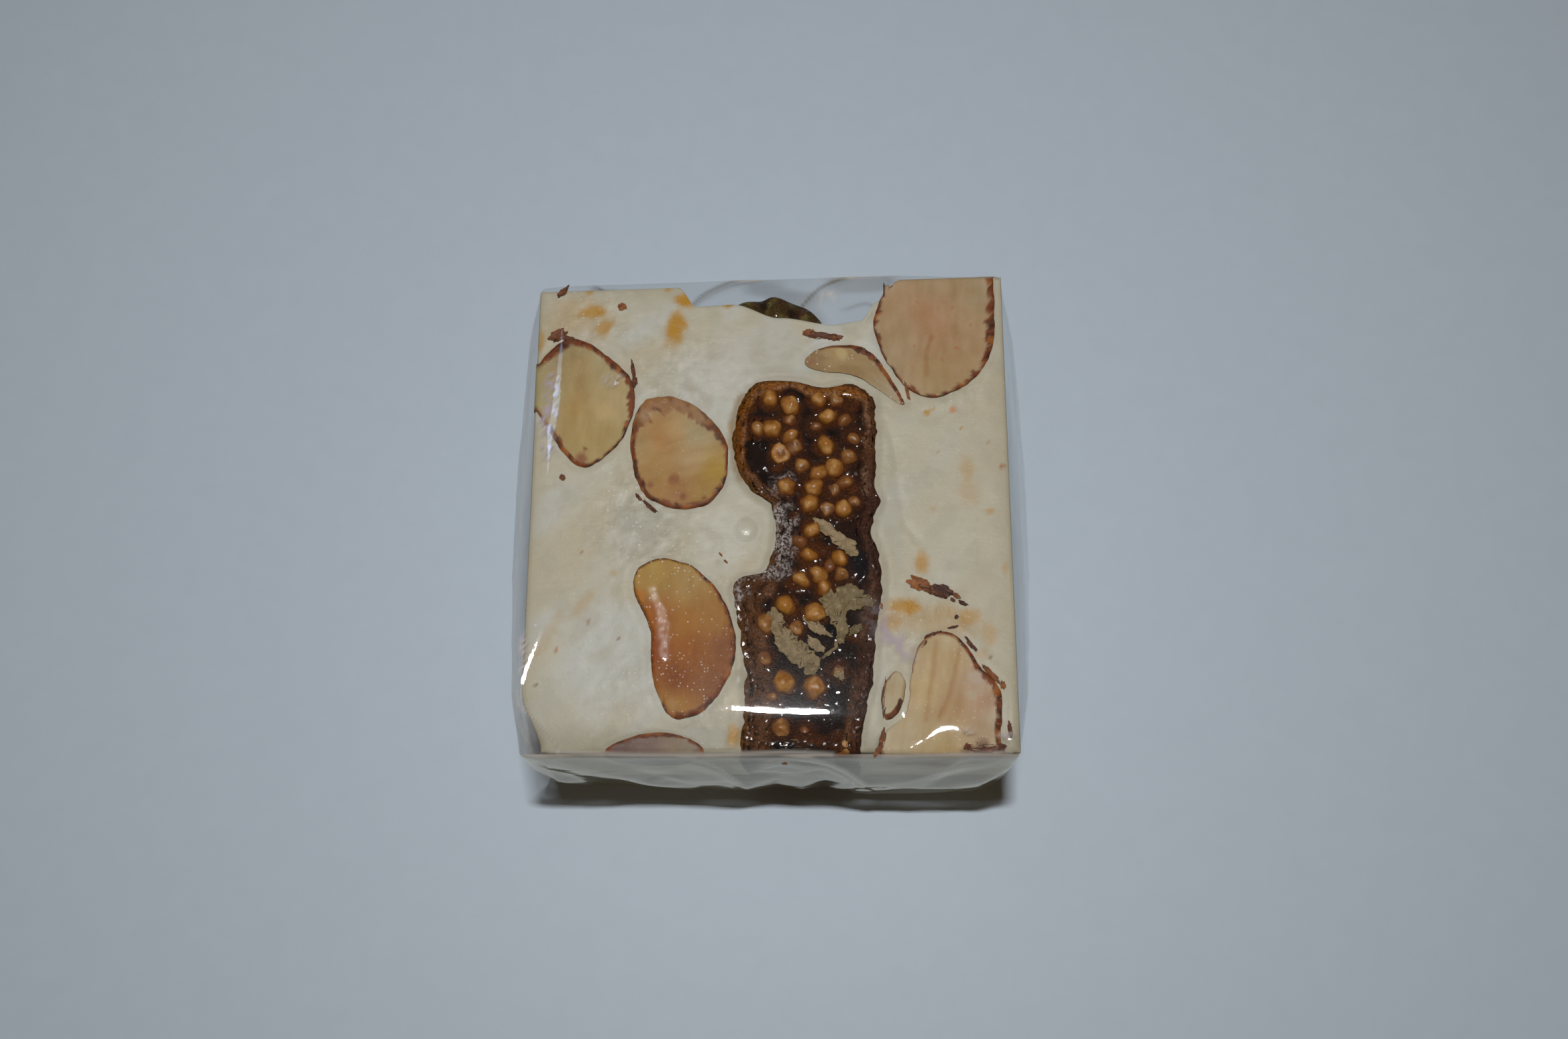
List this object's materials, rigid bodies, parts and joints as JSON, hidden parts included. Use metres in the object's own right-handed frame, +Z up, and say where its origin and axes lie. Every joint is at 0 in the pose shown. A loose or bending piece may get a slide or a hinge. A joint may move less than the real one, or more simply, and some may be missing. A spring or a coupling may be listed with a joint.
{
  "type": "nougat bar",
  "caption": "Square slab-cut piece of soft almond and fig nougat, folded in clear film with a seam underneath.",
  "frame": {"origin": "bottom centre of the wrapped piece, on the surface it lies on", "axes": "+Z up through its shortest size, +Y to the back side with the hollow and +X to the right as the front folds are seen"},
  "size_m": [0.0528, 0.0529, 0.0208],
  "materials": {
    "nougat": "soft cream-white nougat with yellow honey stains, smooth knife-cut faces",
    "almond": "cut roasted almond, tan, with a thin red-brown skin at its rim",
    "fig": "dried fig flesh, near black and sticky, with golden seeds and a brown rind",
    "film": "clear glossy wrapping film, folded shut at front and back"
  },
  "bodies": {
    "root": {"nougat": "nougat", "fig_slice": "fig", "fig_end": "fig", "almond_left": "almond", "almond_middle": "almond", "almond_lower": "almond", "almond_back": "almond", "almond_sliver": "almond", "almond_front": "almond", "almond_chip": "almond", "almond_edge": "almond", "film_wrap": "film"}
  },
  "joints": []
}
